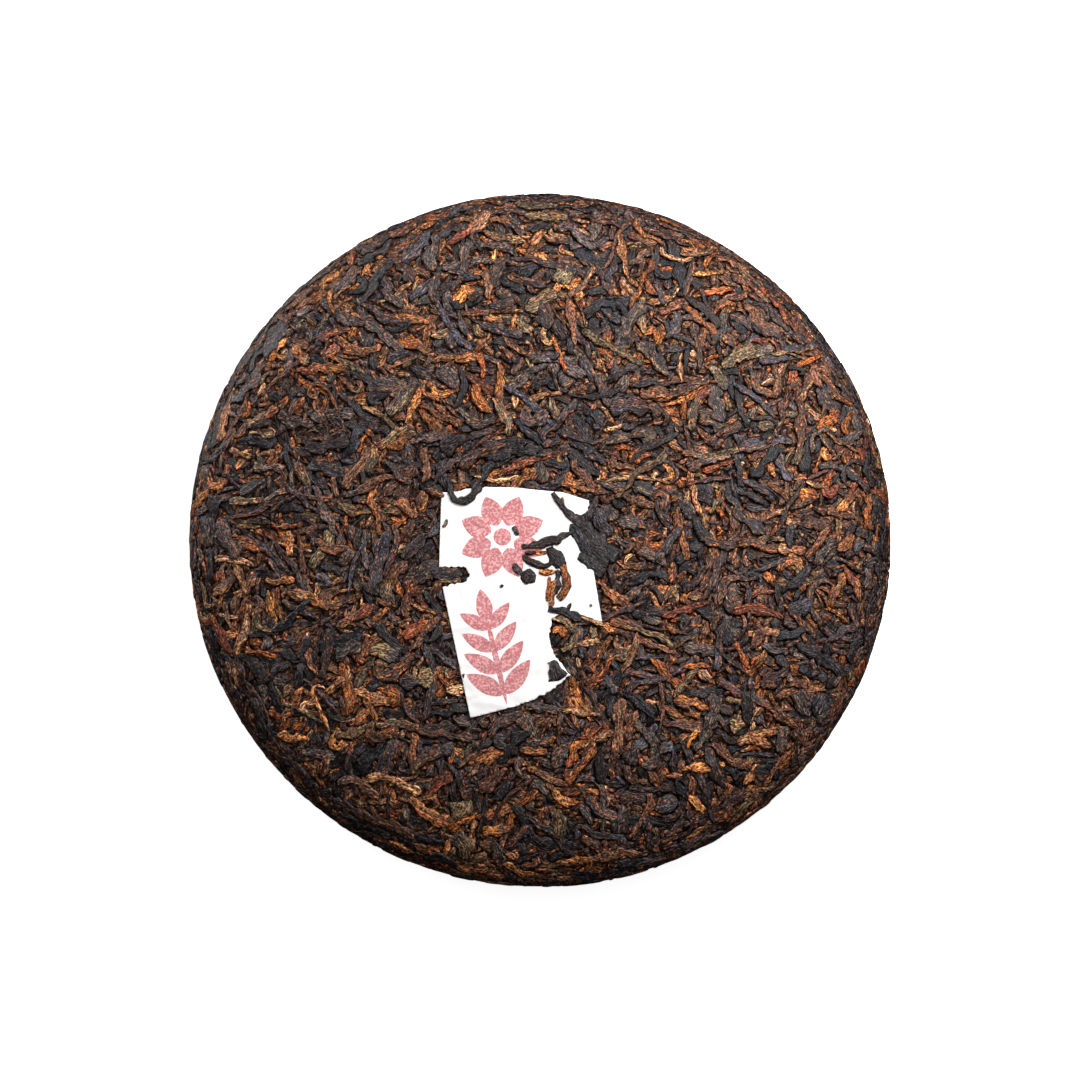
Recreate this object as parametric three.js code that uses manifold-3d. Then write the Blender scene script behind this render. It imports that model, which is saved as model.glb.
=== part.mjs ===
// A pressed cake of dark fermented tea with a paper ticket bedded in its front.
// The cake is a domed disc with a rounded rim, a flat foot and a hollow under its middle.
// Millimetres, +Z up. The origin is at the middle of the foot plane, and +Y points away
// from the reader of the ticket.
import * as THREE from "three";
import { mergeVertices } from "three/addons/utils/BufferGeometryUtils.js";
import Module from "manifold-3d";

const wasm = await Module();
wasm.setup();

// Driving dimensions of the cake
const CAKE_RADIUS = 99.4; // to the pressed surface, before the strands that stand proud of it
const CENTRE_HEIGHT = 24.4;
const RIM_HEIGHT = 10.5; // height of the widest line
const DOME_POWER = 4.5; // a higher power keeps the front flat further out
const DOME_ROUNDING = 0.55;
const FOOT_OUTER_RADIUS = 84;
const HOLLOW_RADIUS = 32;
const HOLLOW_DEPTH = 9;
const PROFILE_STEPS = 160; // for each of the four stretches of the profile
const CORE_DETAIL = 11; // subdivisions of the icosahedron that is pressed into the cake
const CORE_RELIEF = 0.9; // how uneven the pressed surface is
const FLAT_MARGIN = 3; // the relief fades in over this width round the foot and the ticket
const SLIVER_WIDTH = 0.06; // faces narrower than this are merged away once the strands are fused

// Driving dimensions of the strands of rolled leaf
const STRAND_LENGTH = [12, 30];
const STRAND_WIDTH = [2.4, 4.6];
const STRAND_HEIGHT = 0.85; // how far a strand stands out of the pressed surface
const STRAND_SINK = 0.85; // how far its underside lies in the surface
const STRAND_BEND = 1.5; // the most that a strand turns either way along half its length, in radians
const STRAIGHT_BEND = 0.05; // a strand that bends less than this is drawn straight
const STRAND_TAPER = 0.55; // below 1, the ends are blunter than those of an ellipse
const SHORT_BIAS = 1.5; // above 1, there are more short strands than long ones
const STRAND_SIDES = 4;
const STRAND_STEPS = 5;
const FRONT_STRANDS = 92;
const HOLLOW_STRANDS = 8;
const GOLDEN_ANGLE = Math.PI * (3 - Math.sqrt(5));
const SEED = 357;

// Driving dimensions of the strands round the rim, which run with its edge
const RIM_STRANDS = 32;
const RIM_BAND = [-2, 6]; // how far under the widest line they lie
const RIM_SLANT = 0.35; // the most that they turn from the edge's direction, in radians
const RIM_LENGTH = [13, 22];
const RIM_WIDTH = [2.4, 3.7];
const RIM_BEND = [-0.12, 0.28];

// Driving dimensions of the ticket
const PAPER_THICKNESS = 0.2;
const PAPER_GAP = 0.3; // from the pressed surface to the low points of the paper
const PAPER_WAVE = 0.16;
const PAPER_WAVE_LENGTH = { x: 15, y: 19 };
const PAPER_WAVE_START = { x: 0.6, y: 1.1 }; // phases of the waves, in radians
const PAPER_GRID = 4; // spacing of the paper's vertices
const SHEET_SIZE = 128; // side of the square sheet that the ticket is cut from
const TICKET_CLEARANCE = 1.6; // strands stay this far from the ticket
const TEAR_DEPTH = 0.35;
const TEAR_STEP = 2.2;

// The ticket's outline, anticlockwise from its upper left corner. A stretch that starts at a
// point marked torn has a ragged edge, and the others are cut straight.
const TICKET_OUTLINE = [
  { x: -27.8, y: 10.5 },
  { x: -28.4, y: -10.9, torn: true },
  { x: -21.5, y: -10.6, torn: true },
  { x: -19.8, y: -12.7, torn: true },
  { x: -20.6, y: -14.7, torn: true },
  { x: -27.4, y: -16.4 },
  { x: -19.5, y: -53.5 },
  { x: -6.0, y: -50.0, torn: true },
  { x: 2.6, y: -46.2, torn: true },
  { x: 8.6, y: -41.3, torn: true },
  { x: 3.7, y: -35.2, torn: true },
  { x: 2.6, y: -30.9, torn: true },
  { x: 3.2, y: -25.6, torn: true },
  { x: 17.5, y: -26.8 },
  { x: 14.9, y: -10.9 },
  { x: 13.8, y: 8.2 },
  { x: 6.6, y: 10.5 },
  { x: -6.9, y: 11.9 },
  { x: -15.5, y: 12.1, torn: true },
];

const COLOURS = { tea: 0x57403a, paper: 0xf6f3ee };

// A repeatable random number from 0 to 1
function randomFrom(seed) {
  let state = seed;
  return () => {
    state = (state + 0x6d2b79f5) | 0;
    let mixed = Math.imul(state ^ (state >>> 15), 1 | state);
    mixed = (mixed + Math.imul(mixed ^ (mixed >>> 7), 61 | mixed)) ^ mixed;
    return ((mixed ^ (mixed >>> 14)) >>> 0) / 4294967296;
  };
}

const between = (range, share) => range[0] + (range[1] - range[0]) * share;

// The cake's profile from the top centre, over the rim, to the middle of the hollow
function cakeProfile() {
  const points = [];
  for (let i = 0; i < PROFILE_STEPS; i++) {
    const sine = Math.sin((Math.PI / 2) * (i / PROFILE_STEPS));
    const rise = (CENTRE_HEIGHT - RIM_HEIGHT) * (1 - sine ** DOME_POWER) ** DOME_ROUNDING;
    points.push(new THREE.Vector2(CAKE_RADIUS * sine, RIM_HEIGHT + rise));
  }
  for (let i = 0; i < PROFILE_STEPS; i++) {
    const angle = (Math.PI / 2) * (i / PROFILE_STEPS);
    const radius = FOOT_OUTER_RADIUS + (CAKE_RADIUS - FOOT_OUTER_RADIUS) * Math.cos(angle);
    points.push(new THREE.Vector2(radius, RIM_HEIGHT * (1 - Math.sin(angle))));
  }
  for (let i = 0; i < PROFILE_STEPS; i++) {
    const radius = FOOT_OUTER_RADIUS + (HOLLOW_RADIUS - FOOT_OUTER_RADIUS) * (i / PROFILE_STEPS);
    points.push(new THREE.Vector2(radius, 0));
  }
  for (let i = 0; i <= PROFILE_STEPS; i++) {
    const radius = HOLLOW_RADIUS * (1 - i / PROFILE_STEPS);
    const rise = (1 + Math.cos((Math.PI * radius) / HOLLOW_RADIUS)) / 2;
    points.push(new THREE.Vector2(radius, HOLLOW_DEPTH * rise));
  }
  return points;
}

const PROFILE = cakeProfile();
const LENGTHS = [0];
const AREAS = [0];
for (let i = 1; i < PROFILE.length; i++) {
  const step = PROFILE[i].distanceTo(PROFILE[i - 1]);
  LENGTHS.push(LENGTHS[i - 1] + step);
  AREAS.push(AREAS[i - 1] + step * (PROFILE[i].x + PROFILE[i - 1].x));
}
const PROFILE_LENGTH = LENGTHS.at(-1);

// The place on the profile where a growing table reaches a value, with its outward normal
function profileAt(table, value) {
  let low = 0;
  let high = table.length - 1;
  while (high - low > 1) {
    const middle = (low + high) >> 1;
    if (table[middle] <= value) low = middle;
    else high = middle;
  }
  const share = THREE.MathUtils.clamp((value - table[low]) / (table[high] - table[low]), 0, 1);
  const along = PROFILE[high].clone().sub(PROFILE[low]).normalize();
  const place = PROFILE[low].clone().lerp(PROFILE[high], share);
  return { place, normal: new THREE.Vector2(-along.y, along.x) };
}

// A point at a height over the surface, from its place on a chart: a flat map of the front or
// the back, centred on the axis, with distances from the centre kept
function onChart(isFront, p, q, height) {
  const reach = Math.hypot(p, q);
  const { place, normal } = profileAt(LENGTHS, isFront ? reach : PROFILE_LENGTH - reach);
  const scale = reach ? (place.x + normal.x * height) / reach : 0;
  return new THREE.Vector3(p * scale, isFront ? q * scale : -q * scale, place.y + normal.y * height);
}

// The distance from a point to a segment, in the plane
function distanceToSegment(x, y, start, end) {
  const dx = end.x - start.x;
  const dy = end.y - start.y;
  const share = ((x - start.x) * dx + (y - start.y) * dy) / (dx * dx + dy * dy);
  const onSegment = THREE.MathUtils.clamp(share, 0, 1);
  return Math.hypot(x - start.x - onSegment * dx, y - start.y - onSegment * dy);
}

// The distance from a point to the ticket's outline, below zero inside it
function distanceToTicket(x, y) {
  let nearest = Infinity;
  let inside = false;
  TICKET_OUTLINE.forEach((start, i) => {
    const end = TICKET_OUTLINE[(i + 1) % TICKET_OUTLINE.length];
    nearest = Math.min(nearest, distanceToSegment(x, y, start, end));
    const crosses = start.y > y !== end.y > y;
    const crossing = start.x + ((y - start.y) * (end.x - start.x)) / (end.y - start.y);
    if (crosses && x < crossing) inside = !inside;
  });
  return inside ? -nearest : nearest;
}

// A closed geometry as a manifold-3d solid
function solidOf(geometry) {
  geometry.deleteAttribute("normal");
  geometry.deleteAttribute("uv");
  const merged = mergeVertices(geometry, 1e-4);
  return new wasm.Manifold(
    new wasm.Mesh({
      numProp: 3,
      vertProperties: merged.getAttribute("position").array,
      triVerts: new Uint32Array(merged.index.array),
    }),
  );
}

// The largest body of a solid, with any hollow that joining sealed inside it filled
function outerBody(solid) {
  const bodies = solid.decompose();
  return bodies.sort((a, b) => b.volume() - a.volume())[0];
}

// A manifold-3d solid as a geometry
function geometryOf(solid) {
  const mesh = solid.getMesh();
  const geometry = new THREE.BufferGeometry();
  geometry.setAttribute("position", new THREE.BufferAttribute(mesh.vertProperties, mesh.numProp));
  geometry.setIndex(new THREE.BufferAttribute(mesh.triVerts, 1));
  const flat = geometry.toNonIndexed();
  flat.computeVertexNormals();
  return flat;
}

// The pressed cake without its strands: an icosahedron's even triangles, moved onto the
// profile so that each keeps an equal share of the surface, and roughened by small lumps
function pressedCore() {
  const geometry = new THREE.IcosahedronGeometry(1, CORE_DETAIL);
  geometry.deleteAttribute("normal");
  geometry.deleteAttribute("uv");
  const merged = mergeVertices(geometry, 1e-5);
  const position = merged.getAttribute("position");
  const random = randomFrom(SEED);
  const corner = new THREE.Vector3();
  for (let i = 0; i < position.count; i++) {
    corner.fromBufferAttribute(position, i).normalize();
    const { place, normal } = profileAt(AREAS, (AREAS.at(-1) * (1 - corner.z)) / 2);
    const around = Math.hypot(corner.x, corner.y) || 1;
    const x = (place.x * corner.x) / around;
    const y = (place.x * corner.y) / around;
    const offFoot = Math.max(place.y, place.x - FOOT_OUTER_RADIUS, HOLLOW_RADIUS - place.x);
    const offTicket = place.y > RIM_HEIGHT ? distanceToTicket(x, y) : FLAT_MARGIN;
    const fade = THREE.MathUtils.clamp(Math.min(offFoot, offTicket) / FLAT_MARGIN, 0, 1);
    const lump = (random() - 0.5) * CORE_RELIEF * fade;
    const radius = place.x + normal.x * lump;
    const height = Math.max(0, place.y + normal.y * lump);
    position.setXYZ(i, (radius * corner.x) / around, (radius * corner.y) / around, height);
  }
  return solidOf(merged);
}

// The places where strands lie: a sunflower spread over a chart, from its centre to its edge
function strandPlaces(isFront, count, reach) {
  const random = randomFrom(SEED + (isFront ? 1 : 2));
  return Array.from({ length: count }, (_, i) => {
    const distance = reach * Math.sqrt((i + 0.5) / count);
    const angle = i * GOLDEN_ANGLE;
    return {
      isFront,
      p: distance * Math.cos(angle),
      q: distance * Math.sin(angle),
      turn: random() * Math.PI,
      length: between(STRAND_LENGTH, random() ** SHORT_BIAS),
      width: between(STRAND_WIDTH, random()),
      bend: (random() * 2 - 1) * STRAND_BEND,
      roll: random() * Math.PI,
    };
  });
}

// The chart place at a share from -1 to 1 along a strand's curved middle line
function alongStrand(strand, share) {
  const bend = strand.bend;
  const half = strand.length / 2;
  const isStraight = Math.abs(bend) < STRAIGHT_BEND;
  const across = isStraight ? 0 : (half / bend) * (1 - Math.cos(bend * share));
  const along = isStraight ? half * share : (half / bend) * Math.sin(bend * share);
  const cosine = Math.cos(strand.turn);
  const sine = Math.sin(strand.turn);
  return {
    p: strand.p + along * cosine - across * sine,
    q: strand.q + along * sine + across * cosine,
    heading: strand.turn + bend * share,
  };
}

// A strand of rolled leaf: a spindle with few sides, bent along its middle line
function strandSolid(strand) {
  const geometry = new THREE.SphereGeometry(1, STRAND_SIDES, STRAND_STEPS);
  const position = geometry.getAttribute("position");
  const middle = (STRAND_HEIGHT - STRAND_SINK) / 2;
  const thick = (STRAND_HEIGHT + STRAND_SINK) / 2;
  for (let i = 0; i < position.count; i++) {
    const share = position.getY(i);
    const taper = Math.max(0, 1 - share * share) ** (STRAND_TAPER / 2);
    const around = Math.atan2(position.getZ(i), position.getX(i)) + strand.roll;
    const centre = alongStrand(strand, share);
    const reach = (taper * Math.cos(around) * strand.width) / 2;
    const p = centre.p + reach * Math.sin(centre.heading);
    const q = centre.q - reach * Math.cos(centre.heading);
    const moved = onChart(strand.isFront, p, q, middle + thick * taper * Math.sin(around));
    position.setXYZ(i, moved.x, moved.y, moved.z);
  }
  return solidOf(geometry);
}

// A strand is left out where it would cross the ticket or the foot, or hang far under the rim
function strandFits(strand) {
  return [-1, -0.5, 0, 0.5, 1].every((share) => {
    const { p, q } = alongStrand(strand, share);
    const reach = Math.hypot(p, q);
    const { place } = profileAt(LENGTHS, strand.isFront ? reach : PROFILE_LENGTH - reach);
    const clear = strand.width / 2;
    if (strand.isFront) {
      const offTicket = distanceToTicket(p, q) > clear + TICKET_CLEARANCE;
      return offTicket && place.y > RIM_HEIGHT / 2;
    }
    const inHollow = place.x < HOLLOW_RADIUS - clear - FLAT_MARGIN;
    const onRim = place.x > FOOT_OUTER_RADIUS && place.y > STRAND_HEIGHT + clear;
    return inHollow || onRim;
  });
}

// The places of the strands round the rim
function rimPlaces() {
  const random = randomFrom(SEED + 3);
  const widest = LENGTHS[PROFILE_STEPS];
  return Array.from({ length: RIM_STRANDS }, (_, i) => {
    const angle = (i / RIM_STRANDS) * 2 * Math.PI;
    const reach = PROFILE_LENGTH - widest - between(RIM_BAND, random());
    return {
      isFront: false,
      p: reach * Math.cos(angle),
      q: reach * Math.sin(angle),
      turn: angle + Math.PI / 2 + (random() * 2 - 1) * RIM_SLANT,
      length: between(RIM_LENGTH, random()),
      width: between(RIM_WIDTH, random()),
      bend: between(RIM_BEND, random()),
      roll: random() * Math.PI,
    };
  });
}

// The cake with its strands fused on
function cakeSolid() {
  const strands = [
    ...strandPlaces(true, FRONT_STRANDS, LENGTHS[PROFILE_STEPS]),
    ...strandPlaces(false, HOLLOW_STRANDS, HOLLOW_RADIUS),
    ...rimPlaces(),
  ].filter(strandFits);
  const joined = wasm.Manifold.union([pressedCore(), ...strands.map(strandSolid)]);
  return outerBody(joined.simplify(SLIVER_WIDTH));
}

// The ticket's outline with its torn stretches made ragged
function ticketShape() {
  const random = randomFrom(SEED + 4);
  const shape = new THREE.Shape();
  TICKET_OUTLINE.forEach((start, i) => {
    const end = TICKET_OUTLINE[(i + 1) % TICKET_OUTLINE.length];
    const length = Math.hypot(end.x - start.x, end.y - start.y);
    const steps = start.torn ? Math.max(1, Math.round(length / TEAR_STEP)) : 1;
    for (let step = 0; step < steps; step++) {
      const share = step / steps;
      const ragged = step ? (random() * 2 - 1) * TEAR_DEPTH : 0;
      const x = start.x + (end.x - start.x) * share - ((end.y - start.y) / length) * ragged;
      const y = start.y + (end.y - start.y) * share + ((end.x - start.x) / length) * ragged;
      if (i === 0 && step === 0) shape.moveTo(x, y);
      else shape.lineTo(x, y);
    }
  });
  shape.closePath();
  return shape;
}

// How far the paper's underside lies over the pressed surface
function paperLift(x, y) {
  const alongX = Math.sin((2 * Math.PI * x) / PAPER_WAVE_LENGTH.x + PAPER_WAVE_START.x);
  const alongY = Math.sin((2 * Math.PI * y) / PAPER_WAVE_LENGTH.y + PAPER_WAVE_START.y);
  return PAPER_GAP + PAPER_WAVE * (1 + alongX * alongY);
}

// A wavy sheet that follows the dome, with both faces split into triangles alike
function wavySheet(size) {
  const steps = Math.ceil(size / PAPER_GRID);
  const plane = new THREE.PlaneGeometry(size, size, steps, steps);
  const flat = plane.getAttribute("position");
  const count = flat.count;
  const corners = new Float32Array(count * 6);
  for (let i = 0; i < count; i++) {
    const x = flat.getX(i);
    const y = flat.getY(i);
    const lift = paperLift(x, y);
    onChart(true, x, y, lift).toArray(corners, i * 3);
    onChart(true, x, y, lift + PAPER_THICKNESS).toArray(corners, (i + count) * 3);
  }
  const triangles = [];
  const faces = plane.index.array;
  for (let i = 0; i < faces.length; i += 3) {
    triangles.push(faces[i + 2], faces[i + 1], faces[i]);
    triangles.push(faces[i] + count, faces[i + 1] + count, faces[i + 2] + count);
  }
  const row = steps + 1;
  const border = [];
  for (let i = 0; i < steps; i++) border.push([i + 1, i]);
  for (let i = 0; i < steps; i++) border.push([i * row, (i + 1) * row]);
  for (let i = 0; i < steps; i++) border.push([steps * row + i, steps * row + i + 1]);
  for (let i = 0; i < steps; i++) border.push([(i + 2) * row - 1, (i + 1) * row - 1]);
  border.forEach(([a, b]) => triangles.push(a, b, b + count, a, b + count, a + count));
  const sheet = new THREE.BufferGeometry();
  sheet.setAttribute("position", new THREE.BufferAttribute(corners, 3));
  sheet.setIndex(triangles);
  return solidOf(sheet);
}

// The ticket: the wavy sheet cut by its outline
function ticketSolid() {
  const through = { depth: CENTRE_HEIGHT * 2, bevelEnabled: false };
  const cutter = new THREE.ExtrudeGeometry(ticketShape(), through);
  return wavySheet(SHEET_SIZE).intersect(solidOf(cutter));
}

function named(name, geometry, colour, roughness) {
  const material = new THREE.MeshStandardMaterial({ color: colour, roughness, metalness: 0 });
  const mesh = new THREE.Mesh(geometry, material);
  mesh.name = name;
  return mesh;
}

const teaCake = new THREE.Group();
teaCake.add(named("pressed_tea", geometryOf(cakeSolid()), COLOURS.tea, 0.75));
teaCake.add(named("paper_ticket", geometryOf(ticketSolid()), COLOURS.paper, 0.9));

export default teaCake;
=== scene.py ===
"""The looks of a round pressed cake of dark tea leaves, with a torn paper ticket bedded in its front.

Lengths are in millimetres until a mesh is made, which is in metres. Leaves are laid on two charts:
flat maps of the cake's front and back, centred on its axis, that keep distances from their centres.
A level is a height over the cake's nominal surface, along that surface's normal.
"""

import math
from dataclasses import dataclass
from functools import cache

import bpy
import numpy as np
from numpy.random import default_rng
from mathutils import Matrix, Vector
from mathutils.geometry import delaunay_2d_cdt


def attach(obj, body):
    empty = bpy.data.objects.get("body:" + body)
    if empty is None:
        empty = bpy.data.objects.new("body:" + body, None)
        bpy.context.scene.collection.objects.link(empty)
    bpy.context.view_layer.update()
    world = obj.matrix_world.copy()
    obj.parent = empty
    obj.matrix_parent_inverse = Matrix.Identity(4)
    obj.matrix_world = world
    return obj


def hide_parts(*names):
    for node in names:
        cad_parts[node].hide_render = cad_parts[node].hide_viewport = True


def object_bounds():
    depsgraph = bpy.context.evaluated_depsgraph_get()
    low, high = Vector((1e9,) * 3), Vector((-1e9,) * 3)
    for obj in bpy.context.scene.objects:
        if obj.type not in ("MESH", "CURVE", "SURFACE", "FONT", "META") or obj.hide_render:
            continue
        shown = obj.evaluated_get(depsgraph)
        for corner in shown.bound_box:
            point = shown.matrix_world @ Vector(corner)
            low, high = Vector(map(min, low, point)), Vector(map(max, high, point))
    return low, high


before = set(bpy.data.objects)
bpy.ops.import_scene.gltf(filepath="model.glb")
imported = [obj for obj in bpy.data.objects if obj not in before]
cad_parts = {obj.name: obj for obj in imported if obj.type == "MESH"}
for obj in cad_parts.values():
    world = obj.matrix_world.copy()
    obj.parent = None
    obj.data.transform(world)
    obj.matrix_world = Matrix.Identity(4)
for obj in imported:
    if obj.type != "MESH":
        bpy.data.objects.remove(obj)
cad_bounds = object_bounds()

MM = 0.001
SEED = 357

# The cake's nominal form, which its solid has too
CAKE_RADIUS = 99.4
CENTRE_HEIGHT = 24.4
RIM_HEIGHT = 10.5  # height of the widest line
DOME_POWER = 4.5
DOME_ROUNDING = 0.55
FOOT_OUTER_RADIUS = 84
HOLLOW_RADIUS = 32
HOLLOW_DEPTH = 9
PROFILE_STEPS = 160  # for each of the four stretches of the profile

# What the visual model has to stay inside, a little within the solid's own box
BOX_MARGIN = 0.05
REACHES = -cad_bounds[0].x, -cad_bounds[0].y, cad_bounds[1].x, cad_bounds[1].y
LARGEST_RADIUS = min(REACHES) / MM - BOX_MARGIN
LARGEST_HEIGHT = cad_bounds[1].z / MM - 0.005

# The grids that record what is covered
CHART_REACH = 126
CELL = 0.4
LEAF_REACH = CHART_REACH - 6  # how far out a leaf's line may run
FOOTPRINT_STEP = 0.36
FOOTPRINT_SHARE = 0.92  # of a leaf's width that its footprint takes

# How leaves lie
LOWEST_LEVEL = -1.2
BEND_REACH = 3  # footprint rows over which a leaf bends down to pass under another
SUNK_SHARE = 0.36  # how far a leaf passes under the top of another, as a share of that one's thickness
LEVEL_SPREAD = 0.25  # how far below the pressed surface the first leaves may lie
LEAST_OVER_CORE = 0.3  # how far over the core each leaf's top stays
UNDULATION = 0.3
UNDULATION_LENGTH = 11
FLOW_LENGTH = 26  # over which the direction changes that neighbouring leaves share
FLOW_SHARE = 0.4  # share of the leaves that follow it
FLOW_SPREAD = 0.45
PATCH_LENGTH = 17  # of dark and brown patches
PATCHINESS = 0.9
END_DIP = 0.3  # how far a leaf's ends dip, as a share of its thickness
RAGGEDNESS = 0.5  # of a leaf's edges
BROKEN_SHARE = 0.4  # share of leaf ends that are broken off blunt
WIGGLE = 0.16  # spread of a leaf's small turns, in radians
TONE_SPREADS = 0.24, 0.26  # of a leaf's brightness, as a whole and along it
HOOK_TURN = 2.2, 4.2
STATION_COUNTS = 3, 26  # the fewest and the most steps between a leaf's stations

# The core that shows in the gaps between leaves
CORE_RELIEF = 0.4
CORE_BUMP_LENGTHS = 3.2, 1.7
CORE_ROWS = 160
CORE_COLUMNS = 270
CORE_CALM = [0.15, 0.5], [0.2, 1]  # depths, and its bumps' share of their full height there

# The paper ticket
PAPER_LEVEL = 0.02  # of its upper face
PAPER_THICKNESS = 0.12
PAPER_EMBOSS = 0.2
PAPER_SPACING = 0.65  # of the points that its faces join
TEAR_STEP = 0.7
TEAR_DEPTH = 0.3
CUT_DEPTH = TEAR_DEPTH * 0.12  # raggedness of its straight edges
BEDDED_LEAVES = 90  # leaves that press through the paper
UNDER_PAPER = -0.4  # level that leaves which pass under the paper stay below


def cake_profile():
    """Radii and heights from the top centre, over the rim and along the foot, to the hollow's middle."""
    share = np.arange(PROFILE_STEPS) / PROFILE_STEPS
    sine = np.sin(share * math.pi / 2)
    cosine = np.cos(share * math.pi / 2)
    rise = (CENTRE_HEIGHT - RIM_HEIGHT) * (1 - sine**DOME_POWER) ** DOME_ROUNDING
    hollow = HOLLOW_RADIUS * (1 - np.arange(PROFILE_STEPS + 1) / PROFILE_STEPS)
    radius = [
        CAKE_RADIUS * sine,
        FOOT_OUTER_RADIUS + (CAKE_RADIUS - FOOT_OUTER_RADIUS) * cosine,
        FOOT_OUTER_RADIUS + (HOLLOW_RADIUS - FOOT_OUTER_RADIUS) * share,
        hollow,
    ]
    height = [
        RIM_HEIGHT + rise,
        RIM_HEIGHT * (1 - sine),
        np.zeros(PROFILE_STEPS),
        HOLLOW_DEPTH * (1 + np.cos(math.pi * hollow / HOLLOW_RADIUS)) / 2,
    ]
    return np.concatenate(radius), np.concatenate(height)


def run_lengths(x, y):
    """How far along a line each of its points lies."""
    return np.concatenate([[0], np.cumsum(np.hypot(np.diff(x), np.diff(y)))])


RADII, HEIGHTS = cake_profile()
LENGTHS = run_lengths(RADII, HEIGHTS)
PROFILE_LENGTH = LENGTHS[-1]
RADIUS_SLOPE = np.gradient(RADII, LENGTHS)
HEIGHT_SLOPE = np.gradient(HEIGHTS, LENGTHS)
SLOPE_LENGTH = np.hypot(RADIUS_SLOPE, HEIGHT_SLOPE)
NORMAL_OUT = -HEIGHT_SLOPE / SLOPE_LENGTH
NORMAL_UP = RADIUS_SLOPE / SLOPE_LENGTH
RIM_PLACE = LENGTHS[PROFILE_STEPS]
FOOT_START = LENGTHS[2 * PROFILE_STEPS]
FOOT_END = LENGTHS[3 * PROFILE_STEPS]

# The pressed surface's level along the profile, and how much of the undulation it has there
PRESSED_PLACES = [0, RIM_PLACE - 22, RIM_PLACE - 8, FOOT_START - 6, FOOT_START, FOOT_END, FOOT_END + 8]
PRESSED_LEVELS = [0.45, 0.45, 0.5, 0.4, 0, 0, 0.3]
PRESSED_UNEVENNESS = [1, 1, 0.1, 0.3, 0.3, 0.3, 1]

# The core's level along the profile: it lies nearer to the surface at the rim
CORE_PLACES = [
    0, RIM_PLACE - 18, RIM_PLACE - 6, RIM_PLACE - 3, RIM_PLACE + 4,
    FOOT_START - 4, FOOT_START, FOOT_END, FOOT_END + 8,
]
CORE_LEVELS = [-1.2, -1.2, -0.5, -0.15, -0.15, -0.5, -0.8, -0.8, -1.2]


def along_profile(front, p, q):
    """How far along the profile a chart's points lie."""
    reach = np.hypot(p, q)
    return reach if front else PROFILE_LENGTH - reach


def over_profile(along, turn, level):
    """The points at a level over places along the profile, turned about the axis, as rows x, y, z."""
    radius = np.interp(along, LENGTHS, RADII) + level * np.interp(along, LENGTHS, NORMAL_OUT)
    height = np.interp(along, LENGTHS, HEIGHTS) + level * np.interp(along, LENGTHS, NORMAL_UP)
    radius = np.minimum(radius, LARGEST_RADIUS)
    height = np.clip(height, 0, LARGEST_HEIGHT)
    return np.stack([radius * np.cos(turn), radius * np.sin(turn), height], axis=-1)


def on_surface(front, p, q, level):
    """The points at a level over places (p, q) on a chart."""
    along = along_profile(front, p, q)
    return over_profile(along, np.arctan2(q if front else -q, p), level)


def waves(x, y, length, seed):
    """A smooth uneven field from -1 to 1, made of waves of about a given length in all directions."""
    random = default_rng(seed)
    total = np.zeros_like(x)
    count = 9
    for direction, phase in random.uniform(0, 2 * math.pi, (count, 2)):
        pace = 2 * math.pi / (length * random.uniform(0.6, 1.5))
        total += np.sin((x * math.cos(direction) + y * math.sin(direction)) * pace + phase)
    return np.clip(total / math.sqrt(count), -1, 1)


def core_level(along):
    """The core's level along the profile, without its bumps."""
    return np.interp(along, CORE_PLACES, CORE_LEVELS)


def pressed_level(front, p, q):
    """The level that the tops of the uppermost leaves are pressed to."""
    along = along_profile(front, p, q)
    uneven = np.interp(along, PRESSED_PLACES, PRESSED_UNEVENNESS)
    wave = waves(p, q, UNDULATION_LENGTH, SEED + front)
    return np.interp(along, PRESSED_PLACES, PRESSED_LEVELS) - uneven * UNDULATION * (1 + wave) / 2


def linear(colour):
    """An sRGB colour from 0 to 255 as linear values from 0 to 1."""
    share = np.asarray(colour, float) / 255
    return np.where(share <= 0.04045, share / 12.92, ((share + 0.055) / 1.055) ** 2.4)


SATURATION = 1.19

# Leaf colours, as sRGB from 0 to 255
JET = [(16, 13, 13), (20, 17, 18), (24, 19, 18), (18, 18, 22)]
BLACK = [(30, 22, 19), (38, 29, 26), (46, 34, 30), (33, 28, 29), (46, 41, 43)]
GREY_BROWN = [(50, 43, 43), (61, 52, 50), (45, 43, 47), (68, 58, 54), (50, 49, 55)]
DARK_BROWN = [(62, 39, 28), (74, 46, 33), (54, 34, 26), (80, 52, 38)]
BROWN = [(104, 67, 46), (120, 77, 50), (90, 57, 42), (112, 80, 60)]
RED_BROWN = [(104, 54, 34), (88, 44, 30), (120, 64, 38)]
GOLD = [(140, 85, 50), (156, 97, 60), (128, 74, 42), (170, 113, 73), (118, 70, 39)]
TAN = [(172, 128, 95), (188, 148, 115), (150, 110, 82), (132, 99, 76)]
OLIVE = [(96, 79, 58), (84, 71, 55), (110, 91, 68)]


@dataclass(frozen=True)
class Kind:
    """One kind of leaf: its sizes and how it is rolled, bent, creased and coloured."""

    name: str
    length: tuple
    width: tuple
    thickness: tuple
    bend: float  # spread of its turn from end to end, in radians
    hooked: float  # share of them that end in a hook
    ends: tuple  # width at its ends, as a share of its full width
    flatness: float  # power of its cross-section's outline: 2 is round, more is flatter
    creases: float  # lengthwise creases across its width
    twist: float  # how far the creases wander across for each millimetre, in radians
    crumple: float  # unevenness of its upper face, as a share of its thickness
    darkness: float  # how much likelier it is in dark patches than in brown ones
    tints: list
    streaks: list  # colours of the streak along it
    finish: tuple  # its material's name, roughness, fleck colour, least noise with a fleck, relief


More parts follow.
